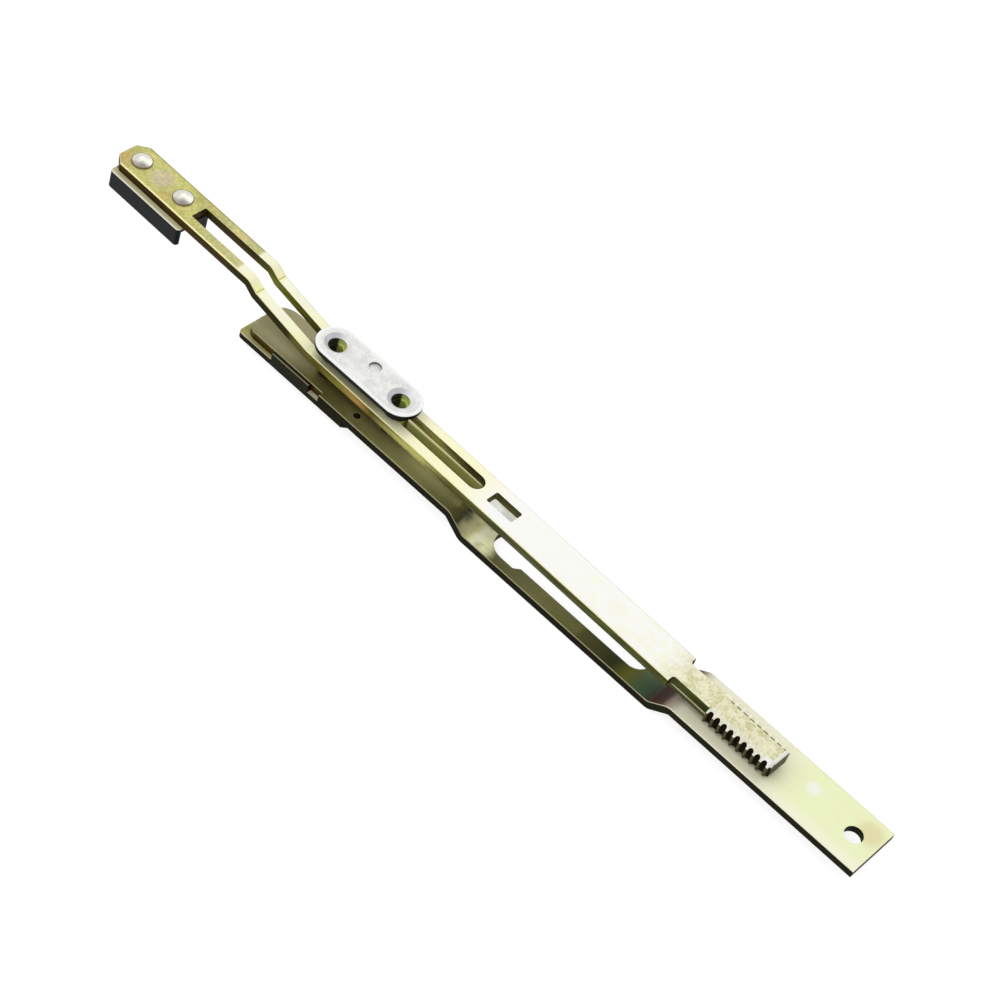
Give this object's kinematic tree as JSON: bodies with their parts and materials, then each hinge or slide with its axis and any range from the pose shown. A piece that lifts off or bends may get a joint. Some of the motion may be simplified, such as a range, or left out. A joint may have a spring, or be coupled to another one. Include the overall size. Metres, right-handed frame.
{
  "type": "tilt and turn espagnolette",
  "caption": "Window espagnolette end: a joggled face plate carries a sliding drive rod with a cranked head, a slot guided by bushes under a guide plate, and a toothed coupling block.",
  "frame": {"origin": "axis of the face plate's screw hole, on the plate's inner face, the face towards the drive rod", "axes": "+X along the plate towards its screwed end, +Z from the plate towards the drive rod, +Y across the plate"},
  "size_m": [0.25, 0.016, 0.0178],
  "materials": {
    "yellow_steel": "yellow passivated zinc plating, satin",
    "cast_yellow": "grainy casting, yellow passivated",
    "cast_zinc": "plain zinc casting, matt",
    "bright_steel": "bright zinc plating"
  },
  "bodies": {
    "face_plate": {"base_plate": "yellow_steel", "backing_strip": "yellow_steel", "edge_insert": "cast_zinc", "guide_plate": "cast_zinc", "guide_bush_left": "yellow_steel", "guide_bush_right": "yellow_steel", "guide_spacer_left": "yellow_steel", "guide_spacer_right": "yellow_steel"},
    "sliding_rod": {"drive_rod": "yellow_steel", "toothed_block": "cast_yellow", "bolt_shoe": "cast_zinc", "front_rivet": "bright_steel", "rear_rivet": "bright_steel"}
  },
  "joints": [
    {"name": "rod_slide", "type": "slide", "parent": "face_plate", "child": "sliding_rod", "axis": [-0.9999, 0.0148, 0], "range_m": [0, 0.025]}
  ]
}
